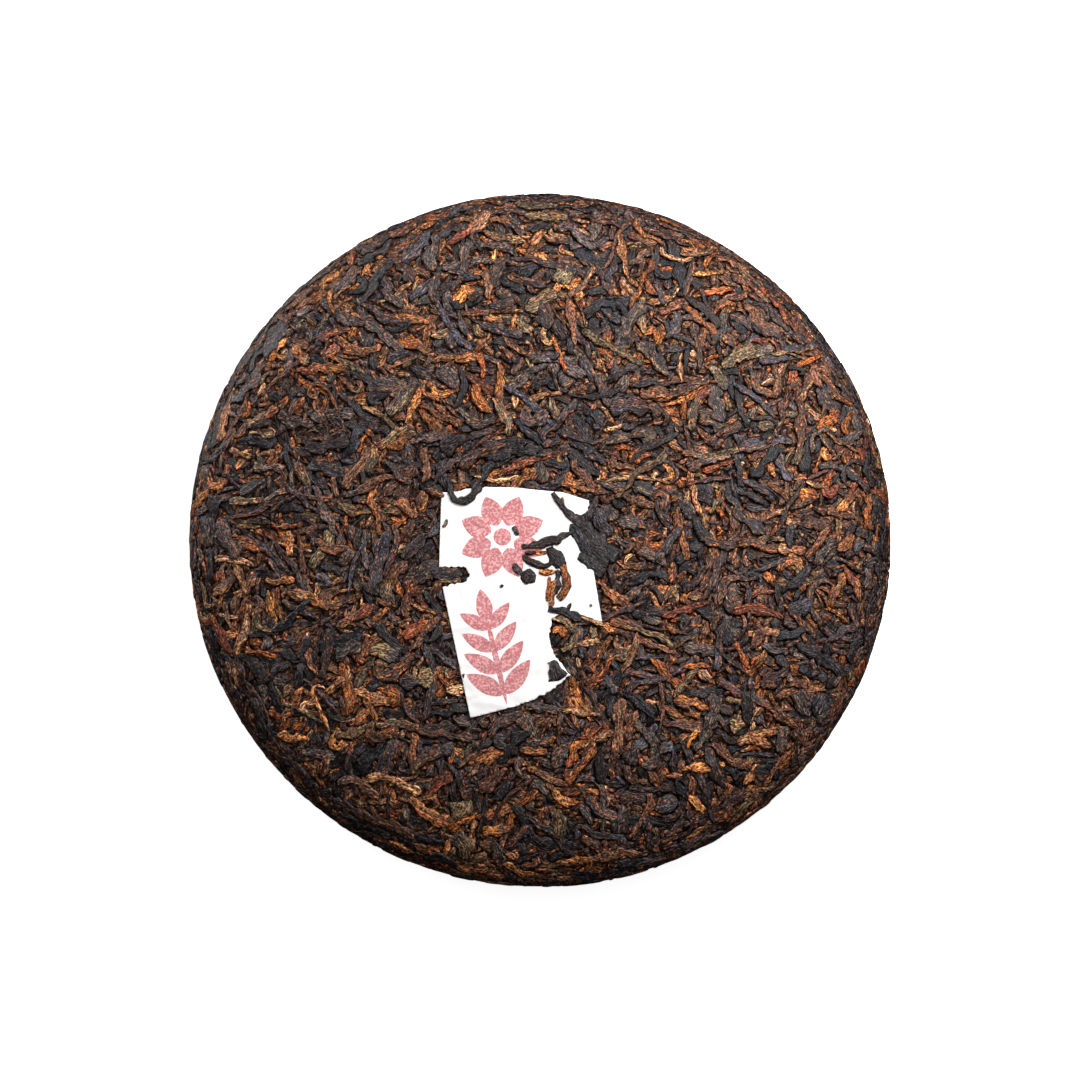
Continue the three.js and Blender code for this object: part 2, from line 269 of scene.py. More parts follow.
KINDS = [
    Kind(
        "dark_strands", (9, 28), (1.2, 2.6), (0.5, 0.8), bend=0.6, hooked=0.12, ends=(0.15, 0.6),
        flatness=3.0, creases=1.5, twist=0.55, crumple=0.13, darkness=1,
        tints=BLACK * 2 + GREY_BROWN + DARK_BROWN, streaks=BROWN + RED_BROWN + BLACK,
        finish=("dark_strand", 0.38, (124, 70, 40), 0.57, 0.5),
    ),
    Kind(
        "dark_leaves", (7, 18), (2.2, 4.4), (0.42, 0.68), bend=0.6, hooked=0.06, ends=(0.25, 0.85),
        flatness=4.2, creases=2.6, twist=0.2, crumple=0.16, darkness=0.6,
        tints=BLACK + GREY_BROWN * 2 + DARK_BROWN, streaks=BROWN * 2 + OLIVE + BLACK,
        finish=("dark_leaf", 0.38, (126, 78, 48), 0.56, 0.5),
    ),
    Kind(
        "black_leaves", (6, 17), (1.9, 4.2), (0.42, 0.7), bend=0.55, hooked=0.08, ends=(0.2, 0.8),
        flatness=4.0, creases=2.0, twist=0.3, crumple=0.13, darkness=1.2,
        tints=JET * 2 + BLACK, streaks=JET + BLACK,
        finish=("black_leaf", 0.38, (92, 58, 40), 0.61, 0.5),
    ),
    Kind(
        "broad_leaves", (6, 12), (3.6, 6.2), (0.4, 0.6), bend=0.4, hooked=0, ends=(0.3, 0.9),
        flatness=4.6, creases=4.2, twist=0.12, crumple=0.2, darkness=0.3,
        tints=GREY_BROWN * 2 + BLACK + OLIVE, streaks=OLIVE + BROWN,
        finish=("broad_leaf", 0.42, (120, 84, 56), 0.56, 0.5),
    ),
    Kind(
        "brown_leaves", (6, 18), (1.6, 3.6), (0.42, 0.7), bend=0.55, hooked=0.08, ends=(0.15, 0.8),
        flatness=3.8, creases=2.2, twist=0.3, crumple=0.15, darkness=-0.6,
        tints=BROWN * 2 + RED_BROWN + OLIVE + DARK_BROWN * 2, streaks=GOLD + BLACK + TAN,
        finish=("brown_leaf", 0.44, (172, 102, 54), 0.56, 0.5),
    ),
    Kind(
        "golden_buds", (6, 17), (1.5, 3.6), (0.45, 0.75), bend=0.6, hooked=0.12, ends=(0.12, 0.6),
        flatness=3.4, creases=1.8, twist=0.2, crumple=0.14, darkness=-1,
        tints=GOLD * 2 + RED_BROWN + BROWN, streaks=TAN + RED_BROWN + DARK_BROWN,
        finish=("golden_bud", 0.56, (116, 60, 30), 0.59, 0.45),
    ),
    Kind(
        "pale_stems", (5, 20), (1.0, 2.7), (0.45, 0.7), bend=0.5, hooked=0.08, ends=(0.4, 0.95),
        flatness=3.0, creases=1.2, twist=0.08, crumple=0.12, darkness=-0.8,
        tints=TAN + OLIVE + BROWN, streaks=BROWN + DARK_BROWN,
        finish=("pale_stem", 0.58, (112, 70, 44), 0.58, 0.45),
    ),
    Kind(
        "crumbs", (1.8, 5.2), (0.9, 2.5), (0.4, 0.65), bend=0.5, hooked=0, ends=(0.3, 0.9),
        flatness=3.6, creases=1.4, twist=0.3, crumple=0.22, darkness=0,
        tints=BLACK * 3 + DARK_BROWN * 2 + BROWN * 2 + GREY_BROWN * 2, streaks=BLACK + GOLD,
        finish=("crumb", 0.55, (142, 84, 44), 0.56, 0.5),
    ),
]
KIND_BY_NAME = {kind.name: kind for kind in KINDS}


def vivid(colours):
    """Linear colours that are more saturated than their sRGB ones, as light on the leaves greys them."""
    shares = linear(colours)
    grey = (shares @ (0.2126, 0.7152, 0.0722))[:, None]
    return np.clip(grey + (shares - grey) * SATURATION, 0.001, 1)


TINTS = {kind.name: vivid(kind.tints) for kind in KINDS}
STREAKS = {kind.name: vivid(kind.streaks) for kind in KINDS}
DARKNESS = np.array([kind.darkness for kind in KINDS])


# The rounds of laying leaves: the leaves' size, as a share of their kind's own, the mix of kinds in
# the order of KINDS, the share of the surface that is still open when the round ends, and the
# least share of itself that a leaf has to show
PHASES = [
    (1.0, (0.14, 0.18, 0.14, 0.05, 0.19, 0.11, 0.07, 0.12), 0.5, 0.55),
    (0.66, (0.14, 0.15, 0.14, 0.04, 0.19, 0.08, 0.06, 0.20), 0.2, 0.35),
    (0.45, (0.12, 0.13, 0.14, 0.0, 0.18, 0.06, 0.04, 0.33), 0.035, 0.22),
]
BATCH = 400
MOST_BATCHES = 60


@dataclass
class Leaf:
    """A leaf on a chart, given by stations along it."""

    kind: Kind
    front: bool
    p: np.ndarray
    q: np.ndarray
    heading: np.ndarray
    left: np.ndarray
    right: np.ndarray
    thickness: np.ndarray
    tint: np.ndarray
    streak: np.ndarray
    top: np.ndarray = None

    @property
    def length(self):
        return np.hypot(np.diff(self.p), np.diff(self.q)).sum()


@cache
def smoothing_weights(reach):
    """Weights of a value's neighbours up to a reach, which fall off on both sides and add up to 1."""
    weights = np.hanning(2 * reach + 3)[1:-1]
    return weights / weights.sum()


def padded(values, reach):
    """Values with their first and last ones repeated beyond the ends."""
    return np.concatenate([np.repeat(values[:1], reach), values, np.repeat(values[-1:], reach)])


def smoothed(values, reach):
    """Values averaged with their neighbours, with the ends held."""
    return np.convolve(padded(values, reach), smoothing_weights(reach), mode="valid")


def lowered(values, reach):
    """The lowest of each value and its neighbours."""
    windows = np.lib.stride_tricks.sliding_window_view(padded(values, reach), 2 * reach + 1)
    return windows.min(axis=1)


def headings(kind, share, random):
    """How a leaf turns along its length, from 0 at its middle."""
    wiggle = random.normal(0, WIGGLE) * np.sin(share * random.uniform(2, 6) + random.uniform(0, 6))
    wiggle += smoothed(random.normal(0, WIGGLE, len(share)), 1)
    if random.random() < kind.hooked:
        start = random.uniform(-0.4, 0.4)
        turn = random.choice([-1, 1]) * random.uniform(*HOOK_TURN)
        return turn * np.clip((share - start) / (1 - start), 0, 1) + wiggle
    return random.normal(0, kind.bend) * share / 2 + wiggle


def fullness(kind, share, random):
    """A leaf's width along it, as a share of its full width."""
    middle = random.uniform(-0.5, 0.3) if kind.name == "golden_buds" else random.uniform(-0.25, 0.25)
    off = np.where(share > middle, (share - middle) / (1 - middle), (middle - share) / (1 + middle))
    full = np.empty_like(share)
    for end in (share > middle, share <= middle):
        if random.random() < BROKEN_SHARE:
            least, power = random.uniform(0.65, 1.05), 4
        else:
            least, power = random.uniform(*kind.ends), random.uniform(1.3, 3)
        full[end] = least + (1 - least) * (1 - off[end] ** power) ** 0.8
    return full


def station_tints(kind, share, random):
    """A leaf's colour along it: one tint, or two that meet somewhere."""
    first, second = TINTS[kind.name][random.integers(0, len(kind.tints), 2)]
    if random.random() < 0.5:
        second = first
    meet = np.clip((share - random.uniform(-0.7, 0.7)) * 2.5 + 0.5, 0, 1)[:, None]
    whole, along = TONE_SPREADS
    tone = np.exp(random.normal(-0.05, whole) + smoothed(random.normal(0, along, len(share)), 1))
    return (first * (1 - meet) + second * meet) * tone[:, None]


def centre_line(kind, place, size, spacing, turn, random):
    """The line of a leaf that passes over a place, as stations a spacing apart, and its headings."""
    length = (kind.length[0] + (kind.length[1] - kind.length[0]) * random.random() ** 1.5) * size
    length = max(length, kind.length[0] * 0.6)
    count = int(np.clip(round(length / spacing), *STATION_COUNTS)) + 1
    heading = turn + headings(kind, np.linspace(-1, 1, count), random)
    middle = (heading[1:] + heading[:-1]) / 2
    step = length / (count - 1)
    p = np.concatenate([[0], np.cumsum(np.cos(middle))]) * step
    q = np.concatenate([[0], np.cumsum(np.sin(middle))]) * step
    through = random.integers(0, count)
    return p - p[through] + place[0], q - q[through] + place[1], heading


def leaf_along(kind, front, line, width, thickness, random):
    """A leaf of a kind along a line."""
    p, q, heading = line
    share = np.linspace(-1, 1, len(p))
    full = fullness(kind, share, random) * width / 2
    left, right = (full * (1 + smoothed(random.normal(0, RAGGEDNESS, len(p)), 1)) for _ in range(2))
    thickness = thickness * (0.55 + 0.45 * full / full.max())
    tint = station_tints(kind, share, random)
    streak = STREAKS[kind.name][random.integers(0, len(kind.streaks))]
    return Leaf(kind, front, p, q, heading, left, right, thickness, tint, streak)


def beside(p, q, heading, reach):
    """Places at reaches to the left of points on a chart, each of which has its own heading."""
    return p[:, None] - reach * np.sin(heading)[:, None], q[:, None] + reach * np.cos(heading)[:, None]


class Cover:
    """What is covered so far, on a grid over each chart: the level that the next leaf has to stay
    under, and where nothing covers the surface yet."""

    def __init__(self):
        self.cells = int(2 * CHART_REACH / CELL)
        centres = (np.arange(self.cells) + 0.5) * CELL - CHART_REACH
        p, q = np.meshgrid(centres, centres, indexing="ij")
        self.p, self.q = p.ravel(), q.ravel()
        reach = np.hypot(self.p, self.q)
        self.own = {True: reach < RIM_PLACE, False: reach < PROFILE_LENGTH - RIM_PLACE}
        self.level, self.open, self.flow, self.patch = {}, {}, {}, {}
        for side in (True, False):
            self.level[side] = pressed_level(side, self.p, self.q)
            self.open[side] = np.ones(self.p.size, bool)
            self.flow[side] = math.pi * (1 + waves(self.p, self.q, FLOW_LENGTH, SEED + 7 + side))
            self.patch[side] = waves(self.p, self.q, PATCH_LENGTH, SEED + 9 + side)

    def index(self, p, q):
        """The grid's cells that hold places on a chart."""
        row = np.clip(((p + CHART_REACH) / CELL).astype(int), 0, self.cells - 1)
        column = np.clip(((q + CHART_REACH) / CELL).astype(int), 0, self.cells - 1)
        return row * self.cells + column

    def mark(self, front, p, q, level):
        """Places that are covered down to a level, on their own chart and on the other one."""
        reach = np.hypot(p, q)
        scale = (PROFILE_LENGTH - reach) / np.maximum(reach, 1e-6)
        for side, x, y in ((front, p, q), (not front, p * scale, -q * scale)):
            on_grid = np.hypot(x, y) < CHART_REACH - 1
            cells = self.index(x[on_grid], y[on_grid])
            np.minimum.at(self.level[side], cells, level[on_grid])
            self.open[side][cells] = False

    def shown(self, front, p, q):
        """The share of places that nothing covers yet."""
        return self.open[front][self.index(p, q)].mean()

    def lay(self, leaf, least_shown, level_spread, random):
        """Fits a leaf under what covers it and marks what it covers, unless too little of it shows."""
        if np.hypot(leaf.p, leaf.q).max() > LEAF_REACH:
            return False
        stations = np.linspace(0, 1, len(leaf.p))
        rows = np.linspace(0, 1, max(5, int(leaf.length / FOOTPRINT_STEP)))
        p, q, heading, left, right, thickness = (
            np.interp(rows, stations, values)
            for values in (leaf.p, leaf.q, leaf.heading, leaf.left, leaf.right, leaf.thickness)
        )
        columns = max(3, int((left.max() + right.max()) / FOOTPRINT_STEP) + 1)
        across = np.linspace(-FOOTPRINT_SHARE, FOOTPRINT_SHARE, columns)
        reach = np.where(across > 0, left[:, None] * across, right[:, None] * across)
        wide_p, wide_q = beside(p, q, heading, reach)
        if self.shown(leaf.front, wide_p, wide_q) < least_shown:
            return False
        cells = self.index(wide_p, wide_q)
        limit = smoothed(lowered(self.level[leaf.front][cells].min(axis=1), BEND_REACH), BEND_REACH)
        top = limit - random.random() ** 1.5 * level_spread
        if np.median(top) < LOWEST_LEVEL:
            return False
        top -= END_DIP * thickness * np.abs(2 * rows - 1) ** 6
        along = along_profile(leaf.front, p, q)
        top = np.maximum(top, core_level(along) + LEAST_OVER_CORE)
        underside = np.repeat((top - SUNK_SHARE * thickness)[:, None], columns, axis=1)
        self.mark(leaf.front, wide_p.ravel(), wide_q.ravel(), underside.ravel())
        leaf.top = np.interp(stations, rows, top)
        return True


# How many points a leaf's ring has on its upper face, and how far apart its rings are
WIDE_LEAF = 2.6
WIDE_POINTS = {True: 9, False: 5}
NARROW_POINTS = {True: 7, False: 4}
CRUMB_POINTS = {True: 5, False: 4}
RING_SPACING = {True: 0.95, False: 2.4}
EDGE_RISE = 0.34  # height of a leaf's edges, as a share of its thickness
MOST_ROLL = 0.12
GROOVES = 0.25, 0.55  # how deep the creases are, as a share of the thickness
STREAK_WIDTHS = 0.12, 0.45  # as a share of a leaf's half width
EDGE_PAINTED_SHADE = 0.5  # painted shade: how bright a leaf is painted where it lies lowest, at its edges, in its creases and underneath
TOP_PAINTED_LIGHT = 0.54  # painted light: how much brighter its raised top and crease ridges are painted
TONE_SPREAD = 0.14
TIP_REACHES = 0.05, 0.9  # past the last ring, as a share of the leaf's half width there
TIP_DEPTH = 0.6  # of a leaf's tips under its top, as a share of its thickness
# Painted shade: how much darker a leaf's tips are painted, where they dip under the others.
TIP_PAINTED_SHADE = 0.5
RIM_BAND = 7  # leaves this near to the widest line run along the rim
RIM_FADE = 7  # over which ever fewer do, further in
RIM_SPREAD = 0.13
RIM_PAINTED_SHADE = 0.55  # painted shade: how dark the leaves at the rim are painted beside the others
RIM_SHADE = 2, 17  # distances from the widest line between which that darkness fades


def direction(cover, front, place, cell, random):
    """A direction for a leaf: along the edge by the rim, else any, or one that its neighbours share."""
    off_rim = abs(along_profile(front, *place) - RIM_PLACE)
    if random.random() < 1 - (off_rim - RIM_BAND) / RIM_FADE:
        return math.atan2(place[1], place[0]) + math.pi / 2 + random.normal(0, RIM_SPREAD)
    if random.random() < FLOW_SHARE:
        return cover.flow[front][cell] + random.normal(0, FLOW_SPREAD)
    return random.uniform(0, 2 * math.pi)


def cover_side(cover, front, random):
    """The leaves that cover one side of the cake, laid from the uppermost down."""
    leaves = []
    total = cover.own[front].sum()
    for size, usual_mix, least_open, least_shown in PHASES:
        for _ in range(MOST_BATCHES):
            cells = np.flatnonzero(cover.open[front] & cover.own[front])
            if len(cells) < least_open * total:
                break
            for cell in random.choice(cells, BATCH):
                if not cover.open[front][cell]:
                    continue
                mix = usual_mix * np.exp(PATCHINESS * cover.patch[front][cell] * DARKNESS)
                kind = KINDS[random.choice(len(KINDS), p=mix / mix.sum())]
                place = cover.p[cell], cover.q[cell]
                turn = direction(cover, front, place, cell, random)
                line = centre_line(kind, place, size, RING_SPACING[front], turn, random)
                if cover.shown(front, *line[:2]) < least_shown:
                    continue
                width = random.uniform(*kind.width) * (0.6 + 0.4 * size)
                leaf = leaf_along(kind, front, line, width, random.uniform(*kind.thickness), random)
                along = along_profile(front, *place)
                level_spread = LEVEL_SPREAD * np.interp(along, PRESSED_PLACES, PRESSED_UNEVENNESS)
                if cover.lay(leaf, least_shown, level_spread, random):
                    leaves.append(leaf)
    return leaves


# The ticket's outline, anticlockwise from its upper left corner, as in its solid. A stretch that
# starts at a point marked torn has a ragged edge.
TICKET_OUTLINE = [
    (-27.8, 10.5, False), (-28.4, -10.9, True), (-21.5, -10.6, True), (-19.8, -12.7, True),
    (-20.6, -14.7, True), (-27.4, -16.4, False), (-19.5, -53.5, False), (-6.0, -50.0, True),
    (2.6, -46.2, True), (8.6, -41.3, True), (3.7, -35.2, True), (2.6, -30.9, True),
    (3.2, -25.6, True), (17.5, -26.8, False), (14.9, -10.9, False), (13.8, 8.2, False),
    (6.6, 10.5, False), (-6.9, 11.9, False), (-15.5, 12.1, True),
]

# Leaves that lie across the ticket, from its top down: kind, width and the line each follows
CROSSING_LEAVES = [
    (
        "black_leaves", 2.4,
        (-25.8, 14.5), (-25.2, 10.6), (-23.8, 7.7), (-20.8, 7.9), (-18.2, 10.8), (-13.4, 19.4),
    ),
    ("golden_buds", 2.4, (-24.4, 11.2), (-22.4, 12.2), (-19.8, 12.6)),
    ("brown_leaves", 1.8, (-31.5, 11.6), (-29.0, 10.0), (-26.8, 9.4)),
    ("black_leaves", 2.1, (3.6, 10.6), (5.2, 7.6), (7.8, 4.6), (10.4, 2.0), (13.4, -0.6)),
    ("black_leaves", 2.4, (16.2, 9.6), (14.8, 5.4), (12.6, 2.6), (10.4, 0.2)),
    ("brown_leaves", 1.6, (6.2, 13.0), (10.4, 12.4), (14.4, 10.8), (18.4, 10.2)),
    ("black_leaves", 4.6, (8.6, 1.4), (11.2, -2.6), (14.6, -7.0), (19.0, -10.8)),
    ("black_leaves", 4.8, (11.0, 3.6), (14.0, -0.8), (17.4, -5.0), (21.4, -7.8)),
    ("black_leaves", 3.8, (14.6, 7.4), (16.6, 3.0), (19.4, -1.6)),
    ("black_leaves", 3.2, (11.4, 1.0), (13.6, -3.6), (16.6, -8.6)),
    ("black_leaves", 3.4, (12.6, 4.0), (15.4, 1.2), (18.6, -3.4)),
    ("black_leaves", 3.4, (11.4, -7.2), (14.0, -9.6), (17.8, -12.6)),
    ("black_leaves", 2.3, (-5.0, -5.0), (-1.8, -4.8), (2.0, -3.7), (5.4, -2.8), (9.0, -0.8)),
    ("crumbs", 1.5, (-4.2, -6.6), (-2.4, -7.0), (-0.8, -6.8)),
    ("golden_buds", 1.5, (-1.4, -6.2), (0.6, -6.9), (2.2, -6.4)),
    ("black_leaves", 2.1, (-5.0, -7.4), (-2.6, -9.4), (0.8, -10.4), (3.8, -9.6)),
    ("black_leaves", 4.0, (2.4, -5.8), (4.6, -7.6), (6.2, -10.6)),
    ("black_leaves", 1.7, (-7.2, -9.6), (-6.8, -11.4), (-5.4, -13.0)),
    ("black_leaves", 3.9, (-5.4, -12.8), (-3.4, -13.5), (-1.2, -13.4)),
    ("black_leaves", 3.7, (-3.0, -11.2), (-3.3, -13.3), (-3.8, -15.6)),
    ("golden_buds", 1.9, (-0.4, -12.0), (2.0, -12.3), (4.4, -12.0)),
    ("golden_buds", 2.5, (5.8, -9.8), (7.4, -13.0), (7.2, -16.6), (5.6, -20.0)),
    ("black_leaves", 1.8, (4.8, -11.6), (5.2, -15.0), (4.4, -18.6)),
    ("brown_leaves", 2.4, (4.4, -14.4), (3.6, -18.0), (3.0, -22.0)),
    ("brown_leaves", 1.6, (2.6, -13.6), (2.7, -17.0), (2.4, -20.6)),
    ("dark_leaves", 4.2, (-30.5, -12.4), (-26.4, -13.0), (-21.6, -12.8)),
    ("brown_leaves", 1.3, (-29.0, -14.8), (-25.6, -14.9), (-22.2, -14.4)),
    ("crumbs", 1.4, (-7.8, 0.8), (-6.8, -0.4), (-6.0, -1.6)),
    ("crumbs", 0.9, (-27.4, 0.6), (-26.6, 1.6), (-26.2, 2.9)),
    ("crumbs", 0.9, (-21.6, -41.1), (-21.2, -42.1)),
    ("crumbs", 0.9, (6.0, 9.0), (6.9, 7.2)),
    ("crumbs", 0.7, (-11.2, -16.4), (-10.2, -15.8)),
    ("crumbs", 0.7, (14.0, -21.4), (14.6, -21.9)),
    ("black_leaves", 2.0, (2.8, -23.6), (5.6, -22.9), (8.4, -24.2), (12.0, -25.8)),
    ("black_leaves", 1.3, (7.2, -24.4), (8.0, -22.6), (8.8, -20.8)),
    ("brown_leaves", 2.4, (3.2, -25.4), (7.4, -26.4), (10.2, -29.0), (9.0, -32.8), (6.0, -34.6)),
    ("golden_buds", 2.6, (3.4, -29.4), (5.4, -28.4), (7.4, -29.6)),
    ("black_leaves", 3.6, (3.4, -37.4), (4.2, -40.2), (5.0, -42.8)),
    ("brown_leaves", 1.5, (9.6, -24.2), (13.6, -25.6), (18.4, -27.6)),
]
CROSSING_TOP = 0.74
CROSSING_LEAST = 0.5  # level that their tops stay over on the ticket, and stay under beside it
CROSSING_THICKNESS = 0.66
CROSSING_DENSITY = 1.2  # how much closer their stations are than other leaves' ones


def crossing_leaf(random, kind_name, width, *knots):
    """A leaf along a line of given points."""
    knots = np.array(knots, float).T
    reach = run_lengths(*knots)
    count = max(5, round(reach[-1] / RING_SPACING[True] * CROSSING_DENSITY))
    places = np.linspace(0, reach[-1], count)
    p, q = (smoothed(np.interp(places, reach, line), 1) for line in knots)
    heading = np.unwrap(np.arctan2(np.gradient(q), np.gradient(p)))
    return leaf_along(KIND_BY_NAME[kind_name], True, (p, q, heading), width, CROSSING_THICKNESS, random)


def ragged_outline():
    """The ticket's outline with its torn stretches made ragged, as rows x, y."""
    random = default_rng(SEED + 10)
    points = []
    for i, (x, y, torn) in enumerate(TICKET_OUTLINE):
        end_x, end_y, _ = TICKET_OUTLINE[(i + 1) % len(TICKET_OUTLINE)]
        length = math.hypot(end_x - x, end_y - y)
        steps = max(1, round(length / TEAR_STEP))
        depth = TEAR_DEPTH if torn else CUT_DEPTH
        for step in range(steps):
            ragged = random.uniform(-depth, depth) if step else 0
            share = step / steps
            point_x = x + (end_x - x) * share - (end_y - y) / length * ragged
            point_y = y + (end_y - y) * share + (end_x - x) / length * ragged
            points.append((point_x, point_y))
    return np.array(points)


def is_inside(outline, x, y):
    """Whether points are inside a closed outline."""
    inside = np.zeros(np.shape(x), bool)
    for (ax, ay), (bx, by) in zip(outline, np.roll(outline, -1, axis=0)):
        if ay != by:
            inside ^= ((ay > y) != (by > y)) & (x < ax + (y - ay) * (bx - ax) / (by - ay))
    return inside


def cover_cake():
    """All leaves, laid from the uppermost down round the ticket."""
    random = default_rng(SEED)
    cover = Cover()
    outline = ragged_outline()
    inside = is_inside(outline, cover.p, cover.q)
    pressed = cover.level[True].copy()
    cover.level[True][:] = CROSSING_TOP
    crossing = [crossing_leaf(random, *facts) for facts in CROSSING_LEAVES]
    for leaf in crossing:
        cover.lay(leaf, 0, 0, random)
        on_ticket = is_inside(outline, leaf.p, leaf.q)
        over, beside = np.maximum(leaf.top, CROSSING_LEAST), np.minimum(leaf.top, CROSSING_LEAST)
        leaf.top = np.where(on_ticket, over, beside)
    cover.level[True] = np.minimum(cover.level[True], pressed)
    cover.level[True][inside] = UNDER_PAPER
    cover.open[True][inside] = False
    return crossing + cover_side(cover, True, random) + cover_side(cover, False, random)


def make_piece(name, points, triangles, material, smooth=True):
    """A mesh object from rows of points in millimetres and rows of corner numbers."""
    mesh = bpy.data.meshes.new(name)
    mesh.from_pydata((points * MM).tolist(), [], triangles.tolist())
    mesh.polygons.foreach_set("use_smooth", np.full(len(triangles), smooth))
    mesh.materials.append(material)
    piece = bpy.data.objects.new(name, mesh)
    bpy.context.scene.collection.objects.link(piece)
    return piece


def add_attribute(piece, name, kind, domain, values):
    """Stores one value for each vertex or face of a piece."""
    field_name = {"FLOAT_COLOR": "color", "FLOAT_VECTOR": "vector", "FLOAT": "value"}[kind]
    attribute = piece.data.attributes.new(name, kind, domain)
    attribute.data.foreach_set(field_name, np.ascontiguousarray(values, np.float32).ravel())


def leaf_tip(leaf, end, out, aside, along):
    """The row of a leaf's tip, which lies out beyond a station and aside of the leaf's line."""
    cosine, sine = math.cos(leaf.heading[end]), math.sin(leaf.heading[end])
    p = leaf.p[end] + out * cosine - aside * sine
    q = leaf.q[end] + out * sine + aside * cosine
    level = leaf.top[end] - leaf.thickness[end] * TIP_DEPTH
    # The tip's tint is darkened as painted shade.
    return p, q, level, *leaf.tint[end] * TIP_PAINTED_SHADE, aside, along + out, 0


def leaf_points(leaf, upper, random):
    """Chart places, levels, tints with painted shade and light, and grain of a leaf's vertices: a ring at
    each station, then tips.
    """
    kind, count = leaf.kind, len(leaf.p)
    place = np.linspace(1, -1, upper)
    across = np.append(place, 0)
    along = run_lengths(leaf.p, leaf.q)[:, None]
    dome = (1 - np.abs(place) ** kind.flatness) ** (1 / kind.flatness)
    wander = random.uniform(0, math.pi) + random.choice([-1, 1]) * kind.twist * along
    ridge = np.abs(np.sin(math.pi / 2 * kind.creases * place + wander)) ** 0.6
    rough = np.pad(random.normal(0, kind.crumple, (count, upper)), ((1, 1), (0, 0)), mode="edge")
    rough = (rough[:-2] + 2 * rough[1:-1] + rough[2:]) / 3
    rise = np.clip(dome * (1 - random.uniform(*GROOVES) * (1 - ridge) + rough), 0, 1)
    rise = np.concatenate([EDGE_RISE + (1 - EDGE_RISE) * rise, np.zeros((count, 1))], axis=1)
    half = np.where(across > 0, leaf.left[:, None], leaf.right[:, None])
    reach = half * across
    roll = random.uniform(-MOST_ROLL, MOST_ROLL)
    level = leaf.top[:, None] - leaf.thickness[:, None] * (1 - rise) + roll * reach - abs(roll) * half * 0.5
    p, q = beside(leaf.p, leaf.q, leaf.heading, reach)
    middle = random.uniform(-0.8, 0.8) + 0.3 * np.sin(along / 4 + random.uniform(0, 6))
    streak = random.uniform(0, 0.9) * np.exp(-(((across - middle) / random.uniform(*STREAK_WIDTHS)) ** 2))
    tint = leaf.tint[:, None, :] * (1 - streak[:, :, None]) + leaf.streak * streak[:, :, None]
    # Painted shade and light: each vertex's tint is darker the lower it lies across the leaf, at its edges
    # and in its creases, and brighter on its top, besides a random tone.
    tone = (EDGE_PAINTED_SHADE + TOP_PAINTED_LIGHT * rise) * np.exp(random.normal(0, TONE_SPREAD, rise.shape))
    grain = np.stack([reach, np.broadcast_to(along, reach.shape), np.zeros_like(reach)], axis=-1)
    tips = []
    for end, sign in ((0, -1), (-1, 1)):
        out = sign * random.uniform(*TIP_REACHES) * (leaf.left[end] + leaf.right[end]) / 2
        aside = random.uniform(-0.5, 0.5) * leaf.left[end]
        tips.append(leaf_tip(leaf, end, out, aside, along[end, 0]))
    shaded = tint * tone[:, :, None]
    rings = np.concatenate([p[..., None], q[..., None], level[..., None], shaded, grain], axis=-1)
    rows = np.concatenate([rings.reshape(-1, 9), tips])
    rows[:, 8] = random.uniform(0, 200)
    return rows


def triangle_rows(*corners):
    """Rows of corner numbers, from arrays of them or single ones."""
    return np.stack(np.broadcast_arrays(*corners), axis=-1).reshape(-1, 3)


def ring_triangles(rings, around):
    """Corner numbers of a closed form's faces. Its points are rings, then its first and last tip."""
    ring = np.arange(around)
    after = (ring + 1) % around
    near = (np.arange(rings - 1) * around)[:, None]
    first_tip = rings * around
    last = first_tip - around
    faces = [
        triangle_rows(near + ring, near + after, near + around + after),
        triangle_rows(near + ring, near + around + after, near + around + ring),
        triangle_rows(first_tip, after, ring),
        triangle_rows(first_tip + 1, last + ring, last + after),
    ]
    return np.concatenate(faces)


def leaf_piece(name, leaves, front, material, random):
    """One mesh of all the leaves of a kind on one side."""
    rows, triangles, first = [], [], 0
    for leaf in leaves:
        wide = leaf.left.max() + leaf.right.max() > WIDE_LEAF
        upper = (WIDE_POINTS if wide else NARROW_POINTS)[front]
        if leaf.kind.name == "crumbs":
            upper = CRUMB_POINTS[front]
        made = leaf_points(leaf, upper, random)
        triangles.append(ring_triangles(len(leaf.p), upper + 1) + first)
        rows.append(made)
        first += len(made)
    rows = np.concatenate(rows)
    p, q, level = rows[:, :3].T
    piece = make_piece(name, on_surface(front, p, q, level), np.concatenate(triangles), material)
    # Painted shade: the tints of leaves near the rim are darkened there.
    off_rim = np.abs(along_profile(front, p, q) - RIM_PLACE)
    tints = rows[:, 3:6] * np.interp(off_rim, RIM_SHADE, (RIM_PAINTED_SHADE, 1))[:, None]
    opaque = np.pad(tints, ((0, 0), (0, 1)), constant_values=1)
    add_attribute(piece, "tint", "FLOAT_COLOR", "POINT", opaque)
    add_attribute(piece, "grain", "FLOAT_VECTOR", "POINT", rows[:, 6:9])
    return piece


def core_piece(material):
    """The bumpy dark mass that shows between the leaves."""
    along = np.linspace(0, PROFILE_LENGTH, CORE_ROWS + 2)[1:-1, None]
    turn = np.linspace(0, 2 * math.pi, CORE_COLUMNS, endpoint=False)
    along, turn = np.broadcast_arrays(along, turn)
    x, y, z = np.moveaxis(over_profile(along, turn, 0), -1, 0)
    base = core_level(along)
    level = base
    for number, length in enumerate(CORE_BUMP_LENGTHS):
        bumps = waves(x + z, y - z, length, SEED + 5 + number)
        level = level + CORE_RELIEF / 2 * bumps * np.interp(-base, *CORE_CALM)
    poles = over_profile(np.array([0, PROFILE_LENGTH]), np.zeros(2), CORE_LEVELS[0])
    points = np.concatenate([over_profile(along, turn, level).reshape(-1, 3), poles])
    return make_piece("pressed_core", points, ring_triangles(CORE_ROWS, CORE_COLUMNS)[:, ::-1], material)


def circle(x, y, radius, steps=40):
    """A round outline."""
    turn = np.linspace(0, 2 * math.pi, steps, endpoint=False)
    return np.stack([x + radius * np.cos(turn), y + radius * np.sin(turn)], axis=-1)


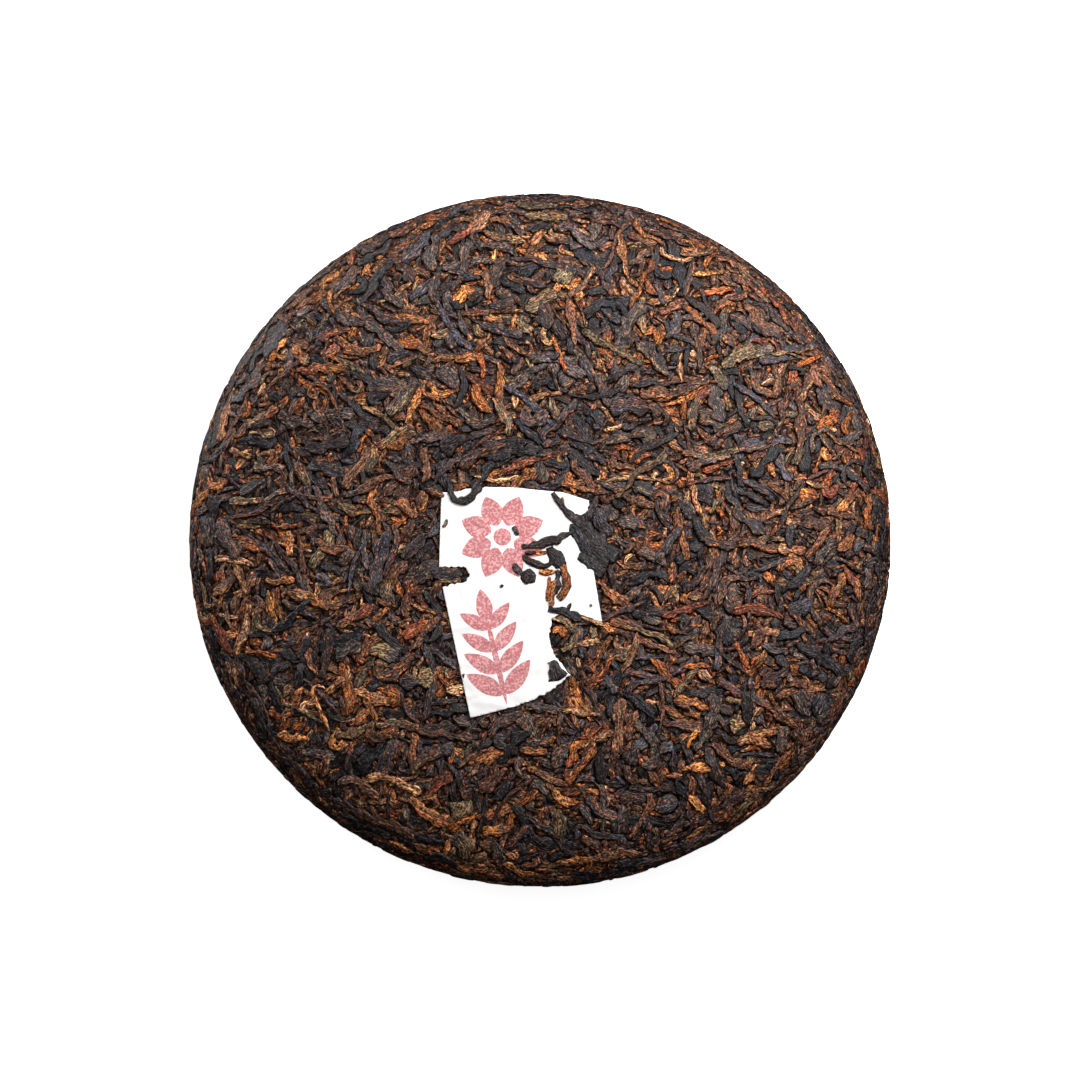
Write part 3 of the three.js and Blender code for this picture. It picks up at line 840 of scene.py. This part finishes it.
def petal(x, y, length, width, turn, steps=14):
    """A leaf-shaped outline that starts at (x, y) and points along a direction."""
    share = np.linspace(0, 1, steps)
    half = width / 2 * np.sin(math.pi * share ** 0.85) ** 0.8
    along = np.concatenate([share, share[-2:0:-1]]) * length
    across = np.concatenate([half, -half[-2:0:-1]])
    cosine, sine = math.cos(turn), math.sin(turn)
    return np.stack([x + along * cosine - across * sine, y + along * sine + across * cosine], axis=-1)


# The ornaments printed on the ticket
BLOSSOM_PLACE = np.array([-10.6, -2.2])
BLOSSOM_EYE = 2.5  # radius of its middle
PETALS = 8
PETAL_START = 3.4
PETAL_SIZE = 9.0, 6.2
SPRIG_BASE = np.array([-9.2, -50.2])
SPRIG_LEAN = math.radians(103)
SPRIG_PAIRS = 4
STEM_SIZE = 29, 1.7
TOP_LEAF_START = 24.5
TOP_LEAF_SIZE = 9.5, 4.6
PAIR_START = 3.4
PAIR_SPACING = 6.3
PAIR_LENGTH = 12.2
PAIR_SHORTENING = 0.9  # from one pair to the next
PAIR_TURN = 0.86  # from the stem, in radians


def print_shapes():
    """The outlines of the ornaments: a blossom over a sprig of leaves."""
    shapes = [circle(*BLOSSOM_PLACE, BLOSSOM_EYE)]
    for i in range(PETALS):
        turn = (i + 0.5) * 2 * math.pi / PETALS
        start = BLOSSOM_PLACE + PETAL_START * np.array([math.cos(turn), math.sin(turn)])
        shapes.append(petal(*start, *PETAL_SIZE, turn))
    stem = np.array([math.cos(SPRIG_LEAN), math.sin(SPRIG_LEAN)])
    shapes.append(petal(*SPRIG_BASE, *STEM_SIZE, SPRIG_LEAN))
    shapes.append(petal(*(SPRIG_BASE + stem * TOP_LEAF_START), *TOP_LEAF_SIZE, SPRIG_LEAN))
    for i in range(SPRIG_PAIRS):
        joint = SPRIG_BASE + stem * (PAIR_START + PAIR_SPACING * i)
        length = PAIR_LENGTH - PAIR_SHORTENING * i
        for side in (-1, 1):
            shapes.append(petal(*joint, length, length * 0.4, SPRIG_LEAN + side * PAIR_TURN))
    return shapes


def paper_level(x, y):
    """The level of the paper's upper face, pressed over the leaves under it."""
    random = default_rng(SEED + 11)
    bumps = np.zeros_like(x)
    for _ in range(BEDDED_LEAVES):
        middle_x, middle_y, turn = random.uniform((-30, -55, 0), (20, 14, math.pi))
        half, width = random.uniform(2.5, 7), random.uniform(0.7, 1.5)
        along = (x - middle_x) * math.cos(turn) + (y - middle_y) * math.sin(turn)
        across = (y - middle_y) * math.cos(turn) - (x - middle_x) * math.sin(turn)
        across = across - random.uniform(-0.03, 0.03) * along**2
        past_end = np.maximum(np.abs(along) - half, 0)
        bumps = np.maximum(bumps, np.exp(-((across**2 + past_end**2) / width**2)))
    return PAPER_LEVEL + PAPER_EMBOSS * (bumps - 0.5) + 0.05 * waves(x, y, 14, SEED + 12)


def split_ticket():
    """The ticket's flat corners and faces, split along its print's edges, and which faces are printed."""
    outline = ragged_outline()
    loops = [outline] + print_shapes()
    low, high = outline.min(axis=0), outline.max(axis=0)
    grid_x, grid_y = np.meshgrid(
        np.arange(low[0], high[0], PAPER_SPACING), np.arange(low[1], high[1], PAPER_SPACING)
    )
    grid_x[1::2] += PAPER_SPACING / 2
    is_in = is_inside(outline, grid_x, grid_y)
    points = np.concatenate(loops + [np.stack([grid_x[is_in], grid_y[is_in]], axis=-1)])
    edges, first = [], 0
    for loop in loops:
        edges += [(first + i, first + (i + 1) % len(loop)) for i in range(len(loop))]
        first += len(loop)
    flat = delaunay_2d_cdt([Vector(p) for p in points], edges, [], 0, 1e-5)
    corners = np.array([tuple(v) for v in flat[0]])
    faces = np.array(flat[2])
    middle = corners[faces].mean(axis=1).T
    keep = is_inside(outline, *middle)
    printed = np.any([is_inside(shape, *middle) for shape in loops[1:]], axis=0)
    used, faces = np.unique(faces[keep], return_inverse=True)
    return corners[used], faces.reshape(-1, 3), printed[keep]


def paper_piece(material):
    """The ticket: a thin embossed sheet with its print as an attribute of its upper faces."""
    corners, faces, printed = split_ticket()
    x, y = corners.T
    level = paper_level(x, y)
    sheets = [on_surface(True, x, y, level), on_surface(True, x, y, level - PAPER_THICKNESS)]
    directed = np.concatenate([faces[:, [0, 1]], faces[:, [1, 2]], faces[:, [2, 0]]]).tolist()
    known = set(map(tuple, directed))
    a, b = np.array([(start, end) for start, end in directed if (end, start) not in known]).T
    under = len(x)
    walls = [triangle_rows(b, a, a + under), triangle_rows(b, a + under, b + under)]
    triangles = np.concatenate([faces, faces[:, ::-1] + under] + walls)
    piece = make_piece("paper_ticket_sheet", np.concatenate(sheets), triangles, material)
    ink = np.zeros(len(triangles))
    ink[: len(faces)] = printed
    add_attribute(piece, "ink", "FLOAT", "FACE", ink)
    return piece


# The materials' colours, as sRGB
SPOT_COLOUR = (26, 13, 8)
PAINTED_GLINT_COLOUR = (82, 82, 92)  # painted reflection: pale bluish glints on the dark leaves
INK_COLOUR = (192, 114, 117)
WORN_INK_COLOUR = (238, 192, 190)
PAPER_COLOUR = (242, 240, 238)

SPECK_STRENGTH = 1.9
SPECULAR_LEVEL = 0.25
CORE_BITS = (420, 640, 560)  # for each metre along x, y and z
NOISE_RANGE = 0.36, 0.64  # where most of a noise's values lie
COLOUR_A, COLOUR_B, MIXED_COLOUR = 6, 7, 2  # a Mix node's colour sockets, by number


def set_inputs(tree, node, inputs):
    """Gives a node's inputs their numbers and colours, and links those that are another's outputs."""
    for socket, value in inputs.items():
        if isinstance(value, bpy.types.NodeSocket):
            tree.links.new(value, node.inputs[socket])
        else:
            node.inputs[socket].default_value = value


def add_node(tree, kind, inputs, **settings):
    """The outputs of a new shader node."""
    made = tree.nodes.new("ShaderNode" + kind)
    for name, value in settings.items():
        setattr(made, name, value)
    set_inputs(tree, made, inputs)
    return made.outputs


def new_material(name):
    """A material with its node tree and its Principled shader."""
    material = bpy.data.materials.new(name)
    material.use_nodes = True
    tree = material.node_tree
    return material, tree, tree.nodes["Principled BSDF"]


def stretched(tree, source, stretch):
    """A vector output stretched along its axes."""
    return add_node(tree, "VectorMath", {0: source, 1: stretch}, operation="MULTIPLY")[0]


def noise(tree, source, stretch, detail, output="Fac"):
    """Noise over a vector output that is first stretched along its axes."""
    inputs = {"Vector": stretched(tree, source, stretch), "Scale": 1, "Detail": detail}
    return add_node(tree, "TexNoise", inputs)[output]


def cells(tree, source, stretch, feature):
    """The outputs of cells over a vector output that is first stretched along its axes."""
    inputs = {"Vector": stretched(tree, source, stretch), "Scale": 1}
    return add_node(tree, "TexVoronoi", inputs, feature=feature)


def spread(tree, value, low, high, to_low, to_high):
    """A value mapped from one range to another, held at its ends."""
    inputs = {"Value": value, "From Min": low, "From Max": high, "To Min": to_low, "To Max": to_high}
    return add_node(tree, "MapRange", inputs)["Result"]


def contrast(tree, value, to_low, to_high):
    """The middle of a noise's range spread from one number to another."""
    return spread(tree, value, *NOISE_RANGE, to_low, to_high)


def product(tree, first, second):
    """Two value outputs multiplied."""
    return add_node(tree, "Math", {0: first, 1: second}, operation="MULTIPLY")[0]


def scaled_colour(tree, colour, value):
    """A colour output multiplied by a value output."""
    return add_node(tree, "VectorMath", {0: colour, "Scale": value}, operation="SCALE")[0]


def speckled(tree, colour, specks, strength):
    """A colour output with each of its channels raised or lowered by coloured noise."""
    inputs = {0: specks, 1: (strength,) * 3, 2: (1 - strength / 2,) * 3}
    around_one = add_node(tree, "VectorMath", inputs, operation="MULTIPLY_ADD")[0]
    return add_node(tree, "VectorMath", {0: colour, 1: around_one}, operation="MULTIPLY")[0]


def mixed(tree, share, first, second):
    """Two colours mixed by a value output. Each is an sRGB colour or an output."""
    first, second = ((*linear(c), 1) if isinstance(c, tuple) else c for c in (first, second))
    inputs = {"Factor": share, COLOUR_A: first, COLOUR_B: second}
    return add_node(tree, "Mix", inputs, data_type="RGBA")[MIXED_COLOUR]


def bump(tree, height, distance, strength=1):
    """Normals of a relief, whose distance is in millimetres."""
    inputs = {"Height": height, "Distance": distance * MM, "Strength": strength}
    return add_node(tree, "Bump", inputs)["Normal"]


@cache
def leaf_material(name, roughness, fleck, fleck_start, relief):
    """Rolled tea leaf: its tint, which carries painted shade and light, with lengthwise fibres, mottling,
    flecks of other colours and painted bluish glints.
    """
    material, tree, shader = new_material(name)
    # The tint attribute carries painted shade at the leaves' edges, creases, tips and the rim, and painted
    # light on their tops.
    tint = add_node(tree, "Attribute", {}, attribute_name="tint")["Color"]
    grain = add_node(tree, "Attribute", {}, attribute_name="grain")["Vector"]
    fibres = noise(tree, grain, (2.4, 0.3, 1), 3)
    mottling = noise(tree, grain, (1.0, 0.5, 1.3), 4)
    flecks = noise(tree, grain, (1.6, 0.7, 1.7), 4)
    dark_spots = noise(tree, grain, (1.3, 0.8, 2.1), 4)
    grit = noise(tree, grain, (3.0, 1.3, 1.3), 2)
    specks = noise(tree, grain, (3.2, 1.6, 1.9), 1, "Color")
    colour = mixed(tree, spread(tree, flecks, fleck_start, fleck_start + 0.08, 0, 0.75), tint, fleck)
    colour = mixed(tree, spread(tree, dark_spots, 0.54, 0.64, 0, 0.7), colour, SPOT_COLOUR)
    # Painted reflection: pale bluish specks where the grit noise is high stand for glints.
    colour = mixed(tree, spread(tree, grit, 0.57, 0.67, 0, 0.22), colour, PAINTED_GLINT_COLOUR)
    shade = product(tree, contrast(tree, mottling, 0.65, 1.4), contrast(tree, fibres, 0.45, 1.7))
    shade = product(tree, shade, spread(tree, grit, 0.43, 0.57, 0.15, 2.1))
    finish = {
        "Base Color": speckled(tree, scaled_colour(tree, colour, shade), specks, SPECK_STRENGTH),
        "Roughness": contrast(tree, mottling, roughness - 0.1, roughness + 0.16),
        "Specular IOR Level": SPECULAR_LEVEL,
        "Normal": bump(tree, product(tree, fibres, grit), relief),
    }
    set_inputs(tree, shader, finish)
    return material


def core_material():
    """The mass of crushed leaf under the leaves: a mosaic of small bits, painted darker towards their edges
    as painted shade in the seams between them.
    """
    material, tree, shader = new_material("tea_dust")
    place = add_node(tree, "NewGeometry", {})["Position"]
    grit = noise(tree, place, (1300, 1300, 1300), 3)
    bits = cells(tree, place, CORE_BITS, "F1")["Color"]
    seams = cells(tree, place, CORE_BITS, "DISTANCE_TO_EDGE")["Distance"]
    brightness, goldness, _ = add_node(tree, "SeparateColor", {0: bits})
    colour = mixed(tree, brightness, (30, 18, 13), (80, 52, 37))
    colour = mixed(tree, spread(tree, goldness, 0.82, 0.86, 0, 0.8), colour, (150, 88, 44))
    # Painted shade: each bit is darkened towards its edges, where the seams between bits lie.
    shade = product(tree, spread(tree, seams, 0, 0.14, 0.1, 1), contrast(tree, grit, 0.4, 1.6))
    finish = {
        "Base Color": scaled_colour(tree, colour, shade),
        "Roughness": 0.8,
        "Specular IOR Level": SPECULAR_LEVEL,
        "Normal": bump(tree, product(tree, spread(tree, seams, 0, 0.2, 0, 1), grit), 1.2),
    }
    set_inputs(tree, shader, finish)
    return material


def paper_material():
    """Thin uncoated white paper with a mottled pinkish red print."""
    material, tree, shader = new_material("printed_paper")
    place = add_node(tree, "NewGeometry", {})["Position"]
    fibres = noise(tree, place, (1700, 1700, 1700), 4)
    blotches = noise(tree, place, (420, 420, 420), 3)
    ink = add_node(tree, "Attribute", {}, attribute_name="ink")["Fac"]
    worn = mixed(tree, spread(tree, fibres, 0.46, 0.62, 0, 0.7), INK_COLOUR, WORN_INK_COLOUR)
    worn = scaled_colour(tree, worn, spread(tree, blotches, 0.3, 0.7, 0.92, 1.06))
    finish = {
        "Base Color": mixed(tree, ink, PAPER_COLOUR, worn),
        "Roughness": 0.85,
        "Specular IOR Level": SPECULAR_LEVEL,
        "Normal": bump(tree, fibres, 0.06, 0.5),
    }
    set_inputs(tree, shader, finish)
    return material


def build_cake():
    """The core, the leaves of each kind on each side, and the ticket."""
    leaves = cover_cake()
    pieces = [core_piece(core_material())]
    for front, side in ((True, "front"), (False, "back")):
        for number, kind in enumerate(KINDS):
            chosen = [leaf for leaf in leaves if leaf.kind is kind and leaf.front == front]
            material = leaf_material(*kind.finish)
            random = default_rng(SEED + 20 + number)
            pieces.append(leaf_piece(f"{kind.name}_{side}", chosen, front, material, random))
    for piece in pieces:
        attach(piece, "root")
        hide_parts("pressed_tea")
    ticket = paper_piece(paper_material())
    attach(ticket, "root")
    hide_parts("paper_ticket")


# The stage, in metres and degrees
FLOOR_SIZE = 6
FLOOR_DROP = 0.0002
FLOOR_GLOW = 0.86
FLOOR_TONE = 0.92
CAMERA_ELEVATION = 80.8
CAMERA_DISTANCE = 1.7
CAMERA_TARGET = (0, -0.0013, 0.0135)
CAMERA_LENS = 200
SKY_STRENGTH = 0.49
GROUND_STRENGTH = 0.03
SKY_EDGE = 0.4  # nearness to the sky's middle at which it is as dark as the ground
SKY_MIDDLE = (0.14, 0.2, 0.97)  # where the sky is brightest
KEY_PLACE = (0.15, 0.16, 0.25)
KEY_SIZE = 0.26
KEY_POWER = 1.8
EDGE_PLACE = (-0.6, 0.5, 0.07)
EDGE_TARGET = (-0.06, 0.04, 0.015)
EDGE_SIZES = 0.6, 0.1
EDGE_POWER = 7


def aimed(thing, place, target):
    """Puts a light or camera at a place and turns it to a target."""
    thing.location = place
    thing.rotation_euler = (Vector(target) - Vector(place)).to_track_quat("-Z", "Y").to_euler()


def add_light(name, place, target, power, width, height):
    light = bpy.data.lights.new(name, "AREA")
    light.energy = power
    light.shape = "RECTANGLE"
    light.size, light.size_y = width, height
    lamp = bpy.data.objects.new(name, light)
    bpy.context.scene.collection.objects.link(lamp)
    aimed(lamp, place, target)


def build_floor():
    """A plain pale floor of even brightness, which lights nothing."""
    corners = np.array([(-1, -1, 0), (1, -1, 0), (1, 1, 0), (-1, 1, 0)]) * FLOOR_SIZE / MM / 2
    corners[:, 2] = -FLOOR_DROP / MM
    material, tree, shader = new_material("pale_floor")
    finish = {
        "Base Color": (FLOOR_TONE, FLOOR_TONE, FLOOR_TONE, 1),
        "Roughness": 0.9,
        "Emission Color": (1, 1, 1, 1),
        "Emission Strength": FLOOR_GLOW,
    }
    set_inputs(tree, shader, finish)
    floor = make_piece("floor", corners, np.array([(0, 1, 2), (0, 2, 3)]), material, smooth=False)
    floor.visible_diffuse = False
    floor.visible_glossy = False


def build_lights():
    """A sky that is brightest nearly overhead, a soft key light and a low one that grazes the rim."""
    world = bpy.data.worlds.new("studio")
    world.use_nodes = True
    tree = world.node_tree
    direction = add_node(tree, "TexCoord", {})["Generated"]
    inputs = {0: direction, 1: SKY_MIDDLE}
    nearness = add_node(tree, "VectorMath", inputs, operation="DOT_PRODUCT")["Value"]
    strength = spread(tree, nearness, SKY_EDGE, 1, GROUND_STRENGTH, SKY_STRENGTH)
    set_inputs(tree, tree.nodes["Background"], {"Color": (1, 1, 1, 1), "Strength": strength})
    bpy.context.scene.world = world
    add_light("key", KEY_PLACE, (0, 0, 0), KEY_POWER, KEY_SIZE, KEY_SIZE)
    add_light("edge", EDGE_PLACE, EDGE_TARGET, EDGE_POWER, *EDGE_SIZES)


def build_camera():
    """A long lens that looks down on the cake's front, tilted a little."""
    camera = bpy.data.objects.new("camera", bpy.data.cameras.new("camera"))
    camera.data.lens = CAMERA_LENS
    bpy.context.scene.collection.objects.link(camera)
    rise = math.radians(CAMERA_ELEVATION)
    away = Vector((0, -math.cos(rise), math.sin(rise))) * CAMERA_DISTANCE
    aimed(camera, Vector(CAMERA_TARGET) + away, CAMERA_TARGET)
    bpy.context.scene.camera = camera
    bpy.context.scene.view_settings.view_transform = "Standard"


build_cake()
build_floor()
build_lights()
build_camera()
